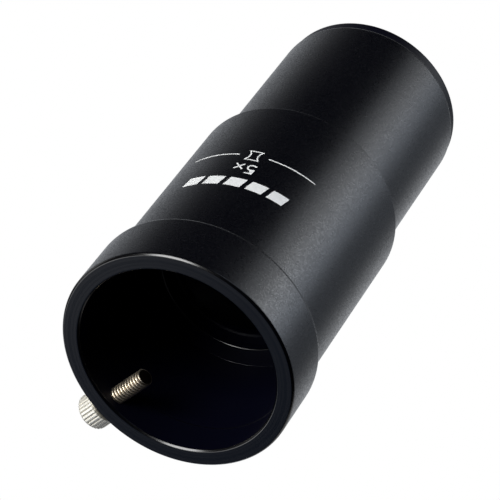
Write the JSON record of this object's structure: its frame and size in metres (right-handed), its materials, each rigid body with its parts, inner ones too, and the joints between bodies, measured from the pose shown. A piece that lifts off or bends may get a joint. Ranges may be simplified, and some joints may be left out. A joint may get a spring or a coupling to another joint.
{
  "type": "barlow lens",
  "caption": "Short-tube barlow lens: an eyepiece socket with a thumbscrew, a straight body and a stepped insertion barrel holding a negative doublet.",
  "frame": {"origin": "on the optical axis, in the plane of the shoulder where the body meets the insertion barrel", "axes": "+Z along the optical axis towards the eyepiece socket, +X along the thumbscrew, outwards"},
  "size_m": [0.0413, 0.0376, 0.0794],
  "materials": {
    "black_anodised": "satin bead-blasted black anodised",
    "matte_black": "matte black anodised",
    "nickel": "bright nickel plate",
    "coated_glass": "polished, coated",
    "white_print": "white pad-printed ink"
  },
  "bodies": {
    "barlow_tube": {"eyepiece_collar": "black_anodised", "main_body": "black_anodised", "baffle_ring": "matte_black", "insertion_barrel": "black_anodised", "lens_cell": "matte_black", "crown_element": "coated_glass", "flint_element": "coated_glass", "lens_retaining_ring": "matte_black"},
    "screw_stud": {"thumbscrew_stud": "nickel"},
    "screw_knob": {"thumbscrew_knob": "nickel"}
  },
  "joints": [
    {"name": "thumbscrew_advance", "type": "slide", "parent": "barlow_tube", "child": "screw_stud", "axis": [1, 0, 0], "range_m": [0, 0.007]},
    {"name": "thumbscrew_turn", "type": "hinge", "parent": "screw_stud", "child": "screw_knob", "pos_m": [0.019, 0, 0.0435], "axis": [1, 0, 0], "range_deg": [0, 3969]}
  ],
  "couplings": [
    {"joint": "thumbscrew_turn", "follows": "thumbscrew_advance", "rad_per_m": 9894.8}
  ]
}
